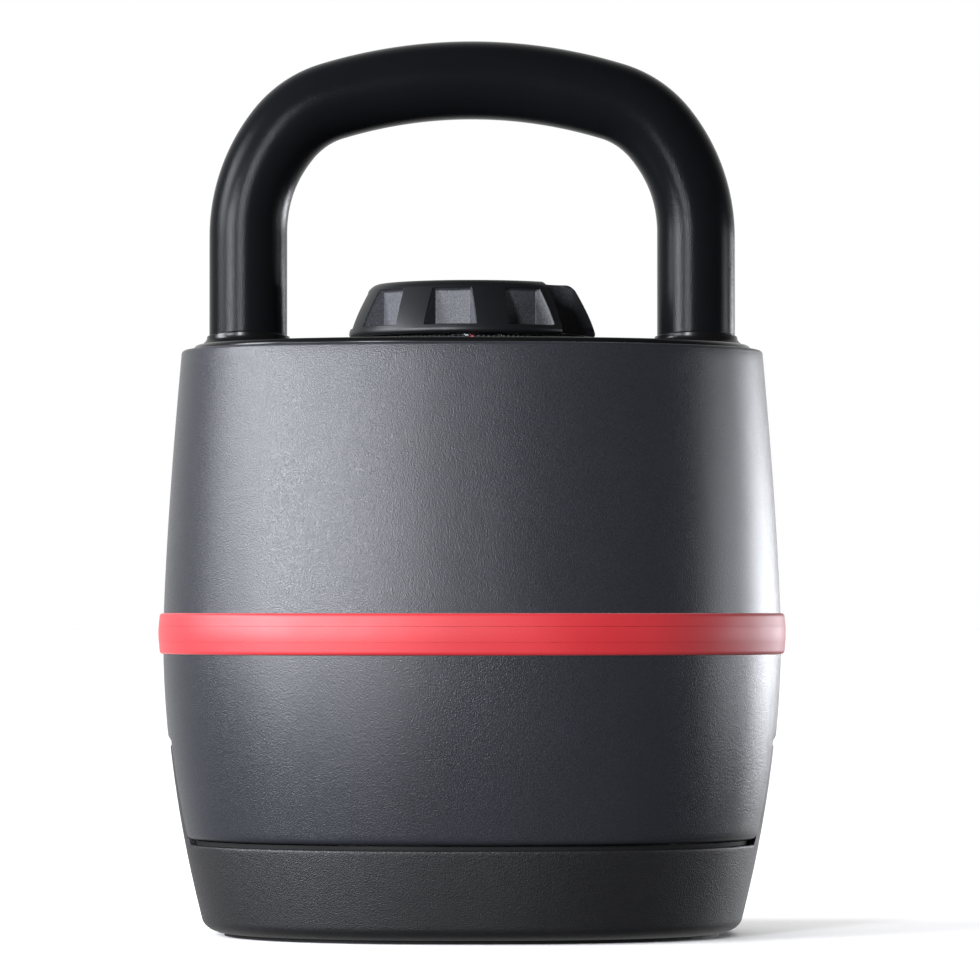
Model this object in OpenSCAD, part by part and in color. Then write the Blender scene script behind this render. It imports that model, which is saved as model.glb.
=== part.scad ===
// Dial-adjustable kettlebell standing in its base cradle.
// Origin: centre of the footprint, on the floor. +Z up, +X along the grip, front is -Y.
// Six settings, 40 degrees apart. The model stands at the third: plates 1 and 2 lift, 3 to 5 stay.

/* [Body outline] */
// Half width of the shell at its widest height
belly_hw = 109.6; // [108.6:0.2:110.6]
// Height of the widest point above the floor
belly_z = 105; // [103:1:107]
// How much narrower, half width, the shell is at the rim
rim_taper = 6.5; // [5:0.1:8]
// How much narrower, half width, the base is at the floor
foot_taper = 14.9; // [13:0.5:16]
// Half width less half depth, the same at every height
flatness = 22; // [21:0.5:23]
// Squareness of the plan outline, 2 is an ellipse
squareness = 2.35; // [2.2:0.05:2.6]
// Height of the shell's rim
rim_z = 206.7; // [206:0.1:209]
// Moulded wall thickness
wall = 3; // [2.5:0.25:3.5]

/* [Band] */
// Height of the band's lower edge
band_z = 99.3; // [98.5:0.1:101]
// Height of the band itself
band_h = 14.5; // [13:0.5:15]
// How far the band stands out of the shell
band_proud = 1.9; // [1.5:0.1:2.5]

/* [Base] */
// Height of the parting line between shell and base
part_z = 33.6; // [32:0.2:35]
// Height of the top of the side ears
ear_z = 67; // [64:1:68]
// Half length of an ear along its top edge
ear_top_hl = 20; // [17:1:23]
// Half length of an ear at the parting line
ear_low_hl = 25; // [22:1:30]
// Thickness of the rubber sole
sole_t = 1.5; // [1:0.5:2]

/* [Handle] */
// Radius of the round bar
bar_r = 13.9; // [13:0.1:14]
// Half distance between the two legs
leg_x = 79.65; // [78:0.05:80]
// Height of the top of the bar
grip_top = 317.5; // [310:0.5:325]
// Radius of the gentle crown over the grip
crown_r = 171.5; // [165:0.5:180]
// Radius of the tight shoulder bend
shoulder_r = 34; // [32:1:36]
// Angle from vertical where the crown meets the shoulder
crown_end = 17; // [16:0.5:18]
// Angle from vertical where the shoulder meets the elbow
shoulder_end = 51.7; // [50:0.1:53]

/* [Dial] */
// Radius of the dial at its lower lip
dial_r = 44.1; // [43:0.1:45]
// Height of the dial's underside
dial_z = 211.6; // [211.4:0.1:212.2]
// Height of the dial's flat top
dial_top = 230.5; // [229:0.5:232]
// Radius of the flat back wall of each grip pocket
pocket_r = 34.9; // [34:0.1:36]
// Width of a grip pocket at its back wall
pocket_w = 14; // [12:0.5:16]
// Angle of the first pocket, from the front towards the right
pocket_from = -91.2; // [-92:0.2:-90]

/* [Weights] */
// Half width of a weight plate
plate_hw = 86; // [84:0.5:87]
// Half depth of a weight plate
plate_hd = 64; // [62:0.5:65]
// Masses of the plates in kilograms, from the top down
plate_kg = [1.814, 3.629, 2.268, 4.536, 2.268];
// Gap between neighbouring plates
plate_gap = 1; // [0.8:0.1:1.2]

/* [Selector] */
// Radius of the selector shaft
shaft_r = 11; // [10.8:0.1:11.2]
// Radius of the shaft's bore
shaft_bore = 6; // [5.8:0.1:6.2]
// Radius of a latch tab's tip
tab_r = 24; // [22:0.5:25]
// Angular width of a latch tab
tab_angle = 26; // [22:1:28]
// How far the lock rod travels
lock_travel = 4; // [3.6:0.2:4.2]

/* [Hidden] */
step_angle = 40;
steel_kg_mm3 = 7.85e-6;
round_fn = 64;
chassis_z = 194;
chassis_t = 6;
chassis_top = chassis_z + chassis_t;
cover_inset = 4;
cover_top = 208.6;
cover_t = 3;
seam_z = band_z + band_h / 2;
floor_z = 5;
stack_z = 8;
ledge_h = 6;
tab_t = 4;
tab_lift = 1;
hole_r = shaft_r + 1.5;
notch_w = 27;
cup_r = 24;
cup_floor = 172;
cup_notch_top = 184;
pin_r = 1.75;
pin_z = cup_notch_top + pin_r + 0.45;
wheel_z = 160;
wheel_t = 8;
wheel_r = 20;
boss_x = 76;
boss_y = 52;
lid_boss_x = 45;
lid_boss_y = 42;
seam_boss_x = 75.7;
seam_boss_y = 60;
fit_gap = 0.3;
rod_clear = 0.06;
shaft_foot = 17;
post_top = 30;
rod_foot = post_top + fit_gap;
rod_top = 192;
shaft_top = 226;

// ---- Outline: a superellipse whose half width follows the height ----

function body_hw(z) = z > belly_z
    ? belly_hw - rim_taper * pow((z - belly_z) / (rim_z - belly_z), 1.42)
    : belly_hw - foot_taper * pow((belly_z - z) / belly_z, 1.9);

function signed_pow(v, p) = sign(v) * pow(abs(v), p);

// Points of the plan outline with half width hw and half depth hd
function outline(hw, hd, n = 64) =
    [for (i = [0:n - 1]) let (t = 360 * i / n)
        [hw * signed_pow(cos(t), 2 / squareness), hd * signed_pow(sin(t), 2 / squareness)]];

function ring(hw, z, n) = [for (p = outline(hw, hw - flatness, n)) [p[0], p[1], z]];

// Quads between ring i and the next, for rings of n points; closed = last ring joins the first
function band_faces(rings, n, closed) =
    [for (i = [0:rings - (closed ? 1 : 2)], j = [0:n - 1])
        let (a = i * n, b = ((i + 1) % rings) * n, k = (j + 1) % n)
        [a + j, b + j, b + k, a + k]];

// A wall: a closed profile of [half width, z], up the outside and down the inside, carried round
module swept_wall(profile, n = 56) {
    polyhedron(points = [for (p = profile, q = ring(p[0], p[1], n)) q],
               faces = band_faces(len(profile), n, true));
}

// A solid: rings stacked from the bottom up and capped at both ends
module stacked_solid(profile, n = 56) {
    last = (len(profile) - 1) * n;
    polyhedron(points = [for (p = profile, q = ring(p[0], p[1], n)) q],
               faces = concat(band_faces(len(profile), n, false),
                              [[for (j = [0:n - 1]) j]],
                              [[for (j = [n - 1:-1:0]) last + j]]));
}

// Profile of a wall of thickness t from z0 to z1 that follows the body, inset by o
function wall_profile(z0, z1, t, o = 0, steps = 6) =
    concat([for (i = [0:steps]) let (z = z0 + (z1 - z0) * i / steps) [body_hw(z) - o, z]],
           [for (i = [steps:-1:0]) let (z = z0 + (z1 - z0) * i / steps) [body_hw(z) - o - t, z]]);

module four(x, y) {
    for (sx = [-1, 1], sy = [-1, 1]) translate([sx * x, sy * y, 0]) children();
}

module tube(r_out, r_in, h) {
    difference() {
        cylinder(r = r_out, h = h, $fn = round_fn);
        translate([0, 0, -1]) cylinder(r = r_in, h = h + 2, $fn = round_fn);
    }
}

// A wedge of a disc, centred on the front (-Y) and turned by a
module sector(r, h, angle, a = 0) {
    rotate([0, 0, a - 90 - angle / 2]) rotate_extrude(angle = angle, $fn = round_fn) square([r, h]);
}

// A slot in plan from radius r0 to r1, over angle, centred on the front and turned by a
module arc_slot(r0, r1, h, angle, a) {
    n = ceil(angle / 5);
    at = [for (i = [0:n]) a - 90 + angle * (i / n - 0.5)];
    linear_extrude(height = h) polygon(concat([for (t = at) r0 * [cos(t), sin(t)]],
                                              [for (i = [n:-1:0]) r1 * [cos(at[i]), sin(at[i])]]));
}

// Pan-head screw along +Z: head from -head_h to 0, shank from 0 up
module screw(shank_r, shank_l, head_r, head_h) {
    difference() {
        union() {
            translate([0, 0, -head_h * 0.3]) cylinder(r = shank_r, h = shank_l + head_h * 0.3, $fn = 32);
            translate([0, 0, -head_h]) cylinder(r = head_r, h = head_h, $fn = 32);
        }
        translate([0, 0, -head_h - 1]) cylinder(r = head_r * 0.45, h = head_h * 0.6 + 1, $fn = 6);
    }
}

// ---- Base cradle ----

// Side-view outline of an ear, grown by g, as a prism through the whole width
module ear_prism(g) {
    rotate([90, 0, 90]) linear_extrude(height = 260, center = true)
        polygon([[-ear_low_hl - g, part_z - 6], [-ear_low_hl - g, part_z + 4],
                 [-ear_top_hl - g, ear_z + g], [ear_top_hl + g, ear_z + g],
                 [ear_low_hl + g, part_z + 4], [ear_low_hl + g, part_z - 6]]);
}

module base_tray() color("#2c2c2e") {
    tray_wall = 4;
    lip = 1;
    difference() {
        union() {
            intersection() {
                swept_wall(concat([[body_hw(0) - 4, sole_t], [body_hw(0) - 0.4, floor_z - 0.5]],
                                  [for (i = [1:6]) let (z = floor_z + (ear_z - floor_z) * i / 6)
                                      [body_hw(z) - lip, z]],
                                  [for (i = [6:-1:1]) let (z = floor_z + (ear_z - floor_z) * i / 6)
                                      [body_hw(z) - tray_wall, z]],
                                  [[body_hw(0) - 8, floor_z], [body_hw(0) - 8, sole_t]]));
                union() {
                    translate([-130, -110, 0]) cube([260, 220, part_z - 0.5]);
                    ear_prism(0);
                }
            }
            translate([0, 0, sole_t]) linear_extrude(height = floor_z - sole_t)
                polygon(outline(body_hw(0) - 6, body_hw(0) - 6 - flatness, 56));
            for (y = [-45, 45]) translate([-60, y - 3, floor_z - 0.5])
                cube([120, 6, stack_z - floor_z + 0.5]);
        }
        translate([0, 0, -1]) cylinder(r = 2.2, h = 10, $fn = 32);
        translate([0, 0, -1]) cylinder(r = 5, h = 1 + sole_t + 1.8, $fn = 32);
    }
}

module foot_mat() color("#161616") {
    difference() {
        linear_extrude(height = sole_t) polygon(outline(88, 66, 56));
        translate([0, 0, -1]) cylinder(r = 7, h = 5, $fn = 32);
    }
}

module release_post() color("silver") {
    difference() {
        union() {
            translate([0, 0, floor_z]) cylinder(r = 5, h = post_top - floor_z, $fn = round_fn);
            translate([0, 0, floor_z]) cylinder(r = 10, h = 2, $fn = round_fn);
        }
        translate([0, 0, floor_z - 1]) cylinder(r = 1.75, h = 14, $fn = 32);
    }
}

module post_screw() color("dimgray") {
    translate([0, 0, sole_t + 1.8]) screw(1.75, 12, 4, 1.5);
}

// ---- Weight plates ----

function polygon_area(p) =
    let (n = len(p)) abs([for (i = [0:n - 1]) let (q = p[(i + 1) % n]) p[i][0] * q[1] - p[i][1] * q[0]]
        * [for (i = [0:n - 1]) 1]) / 2;

plate_area = polygon_area(outline(plate_hw, plate_hd)) - PI * pow(hole_r, 2);
plate_t = [for (m = plate_kg) m / steel_kg_mm3 / plate_area];

// Height of the underside of plate k, 1 at the top of the stack and 5 at the bottom
function plate_z(k) = k == 5 ? stack_z : plate_z(k + 1) + plate_t[k] + plate_gap;

// Steel plate with a counterbore for its tab and a slot in the ledge above it
module weight_plate(k) color("slategray") {
    slot_angle = step_angle * k;
    translate([0, 0, plate_z(k)]) difference() {
        linear_extrude(height = plate_t[k - 1]) polygon(outline(plate_hw, plate_hd));
        translate([0, 0, -1]) cylinder(r = hole_r, h = 60, $fn = round_fn);
        translate([0, 0, -1]) cylinder(r = tab_r + 1, h = 1 + ledge_h, $fn = round_fn);
        translate([0, 0, -1])
            arc_slot(hole_r - 2, tab_r + 0.6, 60, slot_angle, -2.5 * step_angle + slot_angle / 2);
    }
}

module weight_plate_1() weight_plate(1);
module weight_plate_2() weight_plate(2);
module weight_plate_3() weight_plate(3);
module weight_plate_4() weight_plate(4);
module weight_plate_5() weight_plate(5);

stack_top = plate_z(1) + plate_t[0];

// ---- Kettlebell shells and band ----

module upper_shell() color("#3c3d40") {
    difference() {
        union() {
            swept_wall(wall_profile(seam_z, rim_z, wall));
            four(boss_x, boss_y) translate([0, 0, chassis_z - 22]) cylinder(r = 6, h = 22, $fn = 32);
            four(seam_boss_x, seam_boss_y) translate([0, 0, seam_z]) cylinder(r = 5, h = 14, $fn = 32);
        }
        four(boss_x, boss_y) translate([0, 0, chassis_z - 18]) cylinder(r = 2, h = 40, $fn = 32);
        four(seam_boss_x, seam_boss_y) translate([0, 0, seam_z - 1]) cylinder(r = 1.6, h = 12, $fn = 32);
    }
}

module lower_shell() color("#3c3d40") {
    top = seam_z - fit_gap;
    difference() {
        union() {
            swept_wall(wall_profile(part_z + 0.8, top, wall));
            four(seam_boss_x, seam_boss_y) translate([0, 0, top - 5]) cylinder(r = 5, h = 5, $fn = 32);
        }
        ear_prism(0.7);
        four(seam_boss_x, seam_boss_y) translate([0, 0, top - 6]) cylinder(r = 1.9, h = 8, $fn = 32);
    }
}

module band() color("#d8343a") {
    edge = 1.2;
    inner = belly_hw + 0.05;
    outer = belly_hw + band_proud - 0.6;
    top = band_z + band_h;
    swept_wall([[outer - edge, band_z], [outer, band_z + edge], [outer + 0.6, band_z + band_h / 2],
                [outer, top - edge], [outer - edge, top], [inner, top], [inner, band_z]]);
}

module top_cover() color("#121213") {
    hw = body_hw(rim_z) - cover_inset;
    deck = cover_top - cover_t;
    difference() {
        union() {
            stacked_solid([[hw, deck], [hw, cover_top - 1.6], [hw - 0.6, cover_top - 0.5],
                           [hw - 1.8, cover_top]]);
            swept_wall([[hw - 0.2, chassis_top + 1], [hw - 0.2, deck + 0.5], [hw - 3, deck + 0.5],
                        [hw - 3, chassis_top + 1]]);
            four(lid_boss_x, lid_boss_y) translate([0, 0, chassis_top])
                cylinder(r = 4.5, h = deck - chassis_top + 0.5, $fn = 32);
        }
        for (s = [-1, 1]) translate([s * leg_x, 0, deck - 1]) cylinder(r = bar_r + 0.2, h = 6, $fn = round_fn);
        translate([0, 0, deck - 1]) cylinder(r = 18, h = 6, $fn = round_fn);
        four(lid_boss_x, lid_boss_y) translate([0, 0, chassis_top - 1]) cylinder(r = 1.6, h = 7.5, $fn = 32);
        four(boss_x, boss_y) translate([0, 0, chassis_top]) cylinder(r = 4.6, h = 3.4, $fn = 32);
    }
}

// ---- Handle: crown, shoulder and elbow arcs, each tangent to the next, then a straight leg ----

crown_c = [0, grip_top - bar_r - crown_r];
shoulder_c = crown_c + (crown_r - shoulder_r) * [sin(crown_end), cos(crown_end)];
elbow_r = (leg_x - shoulder_c[0] - shoulder_r * sin(shoulder_end)) / (1 - sin(shoulder_end));
elbow_c = shoulder_c + (shoulder_r - elbow_r) * [sin(shoulder_end), cos(shoulder_end)];

function arc(c, r, a0, a1, n) = [for (i = [0:n - 1]) let (a = a0 + (a1 - a0) * i / n)
    [c[0] + r * sin(a), c[1] + r * cos(a), a]];

half_path = concat(arc(crown_c, crown_r, 0, crown_end, 5),
                   arc(shoulder_c, shoulder_r, crown_end, shoulder_end, 5),
                   arc(elbow_c, elbow_r, shoulder_end, 90, 6),
                   [[leg_x, elbow_c[1], 90], [leg_x, chassis_top, 90]]);

// Path points are [x, z, angle of the outward normal from vertical]
bar_path = concat([for (i = [len(half_path) - 1:-1:1]) let (p = half_path[i]) [-p[0], p[1], -p[2]]],
                  half_path);

module handle() color("#1c1d1f") {
    n = 28;
    rings = len(bar_path);
    difference() {
        polyhedron(
            points = [for (p = bar_path, j = [0:n - 1]) let (t = 360 * j / n, u = bar_r * cos(t))
                [p[0] + u * sin(p[2]), bar_r * sin(t), p[1] + u * cos(p[2])]],
            faces = concat(band_faces(rings, n, false), [[for (j = [0:n - 1]) j]],
                           [[for (j = [n - 1:-1:0]) (rings - 1) * n + j]]));
        for (s = [-1, 1]) translate([s * leg_x, 0, chassis_top - 1]) cylinder(r = 5, h = 31, $fn = round_fn);
    }
}

// Flared collar, its lip standing out over the cover
module collar(s) color("#101011") {
    translate([s * leg_x, 0, cover_top]) rotate_extrude($fn = round_fn)
        polygon([[bar_r + 0.15, 0], [bar_r + 2.8, 0], [bar_r + 2.6, 0.9], [bar_r + 1.5, 2.2],
                 [bar_r + 0.9, 4], [bar_r + 0.15, 4.6]]);
}

module collar_left() collar(-1);
module collar_right() collar(1);

// ---- Chassis and fasteners ----

module chassis_plate() color("silver") {
    hw = body_hw(chassis_top) - wall - 0.8;
    difference() {
        translate([0, 0, chassis_z]) linear_extrude(height = chassis_t)
            polygon(outline(hw, hw - flatness));
        translate([0, 0, chassis_z - 1]) cylinder(r = 14, h = chassis_t + 2, $fn = round_fn);
        for (s = [-1, 1]) translate([s * leg_x, 0, chassis_z - 1])
            cylinder(r = 5.3, h = chassis_t + 2, $fn = round_fn);
        four(boss_x, boss_y) translate([0, 0, chassis_z - 1]) cylinder(r = 2.3, h = chassis_t + 2, $fn = 32);
        four(lid_boss_x, lid_boss_y) translate([0, 0, chassis_z - 1])
            cylinder(r = 2, h = chassis_t + 2, $fn = 32);
        for (a = [0:120:240]) rotate([0, 0, a]) translate([27, 0, chassis_z - 1])
            cylinder(r = 1.5, h = chassis_t + 2, $fn = 32);
    }
}

module handle_bolts() color("dimgray") {
    for (s = [-1, 1]) translate([s * leg_x, 0, chassis_z - 2]) screw(5, 30, 8, 8);
}

module handle_washers() color("silver") {
    for (s = [-1, 1]) translate([s * leg_x, 0, chassis_z - 2]) tube(10.5, 5.25, 2);
}

module shell_screws() color("dimgray") {
    four(boss_x, boss_y) translate([0, 0, chassis_top]) rotate([180, 0, 0]) screw(2, 20, 4, 2.6);
}

module cover_screws() color("dimgray") {
    four(lid_boss_x, lid_boss_y) translate([0, 0, chassis_z]) screw(1.6, 12, 3.4, 2.4);
}

module seam_screws() color("dimgray") {
    four(seam_boss_x, seam_boss_y) translate([0, 0, seam_z - fit_gap - 5]) screw(1.6, 14, 3.4, 2.4);
}

module shaft_bushing() color("goldenrod") {
    flange_t = 2.5;
    difference() {
        union() {
            translate([0, 0, chassis_z]) cylinder(r = 14, h = chassis_t + 0.5, $fn = round_fn);
            translate([0, 0, chassis_top]) cylinder(r = 18, h = flange_t, $fn = round_fn);
        }
        translate([0, 0, chassis_z - 1]) cylinder(r = shaft_r + 0.05, h = 20, $fn = round_fn);
    }
}

// Cup under the chassis: the lock pin drops into one of nine notches in its floor
module lock_cup() color("#55585c") {
    difference() {
        union() {
            translate([0, 0, cup_floor]) cylinder(r = cup_r, h = chassis_z - cup_floor, $fn = round_fn);
            translate([0, 0, chassis_z - 4]) cylinder(r = 31, h = 4, $fn = round_fn);
        }
        translate([0, 0, cup_notch_top]) cylinder(r = 20.5, h = 20, $fn = round_fn);
        translate([0, 0, cup_floor - 1]) cylinder(r = shaft_r + 0.4, h = 40, $fn = round_fn);
        for (i = [0:8]) rotate([0, 0, i * step_angle])
            translate([-2.1, -20.2, cup_notch_top - lock_travel]) cube([4.2, 20.2, lock_travel + 1]);
        for (a = [0:120:240]) rotate([0, 0, a]) translate([27, 0, chassis_z - 6])
            cylinder(r = 1.9, h = 12, $fn = 32);
    }
}

module cup_screws() color("dimgray") {
    for (a = [0:120:240]) rotate([0, 0, a]) translate([27, 0, chassis_z - 4]) screw(1.5, 9, 2.8, 2);
}

// Leaf spring at the back: a foot on the cup, a straight leaf and a round nose in the wheel
module detent_spring() color("lightgray") {
    leaf_y = cup_r + 1;
    union() {
        translate([-5, leaf_y, wheel_z]) cube([10, 0.8, chassis_z - 4 - wheel_z]);
        translate([-5, leaf_y, chassis_z - 4.8]) cube([10, 9, 0.8]);
        translate([0, leaf_y - 2.6, wheel_z]) cylinder(r = 3, h = wheel_t, $fn = 32);
    }
}

// Spacer that keeps the lifted plates square under the chassis
module stack_guide() color("#3a3b3d") {
    low = stack_top + plate_gap;
    ring_h = 6;
    difference() {
        union() {
            translate([0, 0, low]) linear_extrude(height = ring_h)
                polygon(outline(72, 54, 48));
            for (sx = [-1, 1]) translate([sx * 56, 0, low + ring_h / 2])
                cylinder(r = 7, h = chassis_z - low - ring_h / 2, $fn = 32);
            for (sy = [-1, 1]) translate([0, sy * 46, low + ring_h / 2])
                cylinder(r = 5, h = chassis_z - low - ring_h / 2, $fn = 32);
        }
        translate([0, 0, low - 1]) linear_extrude(height = ring_h + 2) polygon(outline(46, 38, 48));
    }
}

// ---- Selector: everything that turns with the dial ----

module dial_profile() {
    polygon([[0, dial_z + 1], [36, dial_z + 1], [37, dial_z], [dial_r - 0.8, dial_z],
             [dial_r, dial_z + 0.9], [dial_r - 0.3, dial_z + 2.6], [41.6, dial_z + 6.7],
             [39.1, dial_z + 11.5], [36.4, dial_top - 1.6], [34.8, dial_top - 0.3],
             [33, dial_top], [0, dial_top]]);
}

// One grip pocket at the front: flat back wall and straight sides, open outwards
module grip_pocket(w) {
    low = dial_z + 3.4;
    translate([-w / 2, -dial_r - 5, low]) cube([w, dial_r + 5 - pocket_r, dial_top - 3 - low]);
}

module dial_knob() color("#232427") {
    difference() {
        rotate_extrude($fn = 96) dial_profile();
        for (i = [0:7]) rotate([0, 0, pocket_from + (i < 4 ? i : i + 1) * step_angle])
            grip_pocket(pocket_w);
        rotate([0, 0, pocket_from + 4 * step_angle]) translate([-notch_w / 2, -dial_r - 5, dial_z + 1.2])
            cube([notch_w, dial_r + 5 - pocket_r + 4, 30]);
        translate([0, 0, dial_z - 1]) cylinder(r = shaft_r + 0.02, h = shaft_top - dial_z + 1, $fn = round_fn);
        translate([0, 0, dial_z]) cylinder(r = 3.2, h = 30, $fn = 32);
        translate([0, 0, dial_top - 2]) cylinder(r = 27, h = 3, $fn = round_fn);
        translate([0, 0, shaft_top]) cylinder(r = 6, h = 3, $fn = round_fn);
    }
}

// Insert in the dial's top; its numbers are a surface finish, not a shape
module dial_cap() color("#2b2c2f") {
    translate([0, 0, dial_top - 2]) cylinder(r = 26.9, h = 1.6, $fn = round_fn);
}

module dial_screw() color("dimgray") {
    translate([0, 0, shaft_top]) rotate([180, 0, 0]) screw(3, 14, 5.5, 2.3);
}

module selector_shaft() color("lightgray") {
    flange_z = chassis_top + 2.5 + 1.5;
    difference() {
        union() {
            translate([0, 0, shaft_foot]) cylinder(r = shaft_r, h = shaft_top - shaft_foot, $fn = round_fn);
            translate([0, 0, flange_z]) cylinder(r = 17, h = 2.5, $fn = round_fn);
        }
        translate([0, 0, shaft_foot - 1]) cylinder(r = shaft_bore, h = 205 - shaft_foot + 1, $fn = round_fn);
        translate([0, 0, 200]) cylinder(r = 3, h = 40, $fn = 32);
        translate([-2.1, -shaft_r - 1, pin_z - pin_r - lock_travel - 0.5])
            cube([4.2, shaft_r + 1, lock_travel + 2 * pin_r + 1]);
        translate([0, 0, cup_floor - 2]) tube(shaft_r + 2, shaft_r - 1, 1.5);
    }
}

// Five tabs in line at the front, one under each plate's ledge
module latch_tabs() color("goldenrod") {
    for (k = [1:5]) translate([0, 0, plate_z(k) + tab_lift]) difference() {
        union() {
            cylinder(r = shaft_r + 1.2, h = tab_t, $fn = round_fn);
            sector(tab_r, tab_t, tab_angle);
        }
        translate([0, 0, -1]) cylinder(r = shaft_r, h = tab_t + 2, $fn = round_fn);
    }
}

module detent_wheel() color("#55585c") {
    translate([0, 0, wheel_z]) difference() {
        cylinder(r = wheel_r, h = wheel_t, $fn = round_fn);
        translate([0, 0, -1]) cylinder(r = shaft_r, h = wheel_t + 2, $fn = round_fn);
        for (i = [0:8]) rotate([0, 0, 90 + i * step_angle]) translate([cup_r + 1 - 2.6, 0, -1])
            cylinder(r = 3.4, h = wheel_t + 2, $fn = 32);
    }
}

module thrust_washer() color("goldenrod") {
    translate([0, 0, chassis_top + 2.5]) tube(17, shaft_r + 0.3, 1.5);
}

module shaft_clip() color("dimgray") {
    translate([0, 0, cup_floor - 1.9]) difference() {
        cylinder(r = 15, h = 1.3, $fn = round_fn);
        translate([0, 0, -1]) cylinder(r = shaft_r - 1, h = 4, $fn = round_fn);
        translate([-3, 0, -1]) cube([6, 20, 4]);
    }
}

// Compression spring above the lock rod, as its outer sleeve of space
module lock_spring() color("lightgray") {
    translate([0, 0, rod_top]) tube(5.2, 4.2, 205 - rod_top);
}

// ---- Lock rod: slides in the shaft's bore ----

module lock_rod() color("silver") {
    difference() {
        translate([0, 0, rod_foot])
            cylinder(r = shaft_bore - rod_clear, h = rod_top - rod_foot, $fn = round_fn);
        translate([0, 0, pin_z]) rotate([90, 0, 0]) cylinder(r = pin_r, h = 40, center = true, $fn = 32);
    }
}

module lock_pin() color("dimgray") {
    translate([0, shaft_bore - 1, pin_z]) rotate([90, 0, 0])
        cylinder(r = pin_r, h = shaft_bore - 1 + 19, $fn = 32);
}

// Fine teeth round the dial, standing on the cover, with a gap at the front for the index
module index_ring() color("#9a9ca0") {
    teeth = 144;
    ring_r = 41;
    ring_h = dial_z - 0.7 - cover_top;
    slot_h = 1.3;
    translate([0, 0, cover_top]) difference() {
        tube(ring_r, ring_r - 3, ring_h);
        for (i = [1:teeth - 1]) rotate([0, 0, 360 * i / teeth])
            translate([-0.4, -ring_r - 1, ring_h - slot_h]) cube([0.8, 2.2, slot_h + 1]);
    }
}

base_tray();
foot_mat();
release_post();
post_screw();
weight_plate_1();
weight_plate_2();
weight_plate_3();
weight_plate_4();
weight_plate_5();
upper_shell();
lower_shell();
band();
top_cover();
handle();
collar_left();
collar_right();
index_ring();
chassis_plate();
handle_bolts();
handle_washers();
shell_screws();
cover_screws();
seam_screws();
shaft_bushing();
lock_cup();
cup_screws();
detent_spring();
stack_guide();
dial_knob();
dial_cap();
dial_screw();
selector_shaft();
latch_tabs();
detent_wheel();
thrust_washer();
shaft_clip();
lock_spring();
lock_rod();
lock_pin();
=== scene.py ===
"""Looks of a dial-adjustable kettlebell standing in its base cradle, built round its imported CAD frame.

Lengths in the functions are metres, in the frame's own axes: +Z up, +X along the grip, -Y the front.
"""
import math

import bmesh
import bpy
import numpy as np
from mathutils import Matrix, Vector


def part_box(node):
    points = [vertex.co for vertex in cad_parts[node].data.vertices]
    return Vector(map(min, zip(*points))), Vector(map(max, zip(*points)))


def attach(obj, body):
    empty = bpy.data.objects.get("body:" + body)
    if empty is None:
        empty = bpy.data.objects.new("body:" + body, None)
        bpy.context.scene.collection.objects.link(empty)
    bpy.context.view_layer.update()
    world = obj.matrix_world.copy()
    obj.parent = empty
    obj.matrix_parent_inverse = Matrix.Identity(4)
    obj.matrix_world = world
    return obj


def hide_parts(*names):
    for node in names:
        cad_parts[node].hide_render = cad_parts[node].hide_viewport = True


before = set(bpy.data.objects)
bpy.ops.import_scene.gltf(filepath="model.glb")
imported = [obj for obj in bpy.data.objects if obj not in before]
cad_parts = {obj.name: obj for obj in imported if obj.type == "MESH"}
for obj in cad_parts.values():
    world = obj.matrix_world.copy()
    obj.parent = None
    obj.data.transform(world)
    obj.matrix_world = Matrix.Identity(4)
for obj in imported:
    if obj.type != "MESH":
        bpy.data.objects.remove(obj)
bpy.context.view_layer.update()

bl_info = {
    "name": "Adjustable kettlebell",
    "version": (1, 0, 0),
    "blender": (4, 5, 0),
    "location": "3D View > Sidebar > Kettlebell",
    "description": "Moulded shells, bar, dial and plates of an adjustable kettlebell in its base",
    "category": "Add Mesh",
}

MM = 0.001
TURN = 2 * math.pi
FRONT = -math.pi / 2


def top_of(node):
    """Height of the highest point of a CAD node."""
    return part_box(node)[1].z


def foot_of(node):
    """Height of the lowest point of a CAD node."""
    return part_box(node)[0].z


def reach_of(node):
    """How far a CAD node reaches along +X."""
    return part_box(node)[1].x


# Heights and radii that every piece is worked out from, read off the frame.
RIM_Z = top_of("upper_shell")
SEAM_Z = foot_of("upper_shell")
PART_Z = foot_of("lower_shell")
EAR_Z = top_of("base_tray")
COVER_Z = top_of("top_cover")
DIAL_Z, DIAL_TOP = foot_of("dial_knob"), top_of("dial_knob")
DIAL_R = reach_of("dial_knob")
GRIP_TOP = top_of("handle")
BAR_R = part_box("handle")[1].y
LEG_X = reach_of("handle") - BAR_R
BAND_LOW, BAND_HIGH = foot_of("band"), top_of("band")
BAND_HW = reach_of("band")
PLATE_BODIES = {k: "kettlebell" if k < 3 else "base" for k in range(1, 6)}

# The body's outline: half width against height, and a squared ellipse in plan.
BELLY_HW, BELLY_Z = 109.6 * MM, 105 * MM
RIM_TAPER, FOOT_TAPER = 6.5 * MM, 14.9 * MM
RIM_POWER, FOOT_POWER = 1.42, 1.9
FLATNESS = 22 * MM
SQUARENESS = 2.35
# Half lengths of a side ear along its top edge and at the parting line.
EAR_TOP, EAR_LOW = 20 * MM, 25 * MM


# ---- Settings a user would change ----


def srgb(code):
    """Turns an sRGB hex colour such as "#3c3d40" into the linear red, green, blue and 1 of a shader."""
    part = np.array([int(code[i:i + 2], 16) for i in (1, 3, 5)]) / 255
    linear = np.where(part <= 0.04045, part / 12.92, ((part + 0.055) / 1.055) ** 2.4)
    return (*(float(v) for v in linear), 1.0)


def colour(name, about, code):
    """A colour property whose default is given in hex."""
    return bpy.props.FloatVectorProperty(name=name, description=about, default=srgb(code),
                                         size=4, min=0, max=1, subtype="COLOR")


def length(name, about, mm):
    """A length property whose default is given in millimetres."""
    return bpy.props.FloatProperty(name=name, description=about, default=mm * MM, min=0,
                                   precision=5, unit="LENGTH")


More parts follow.
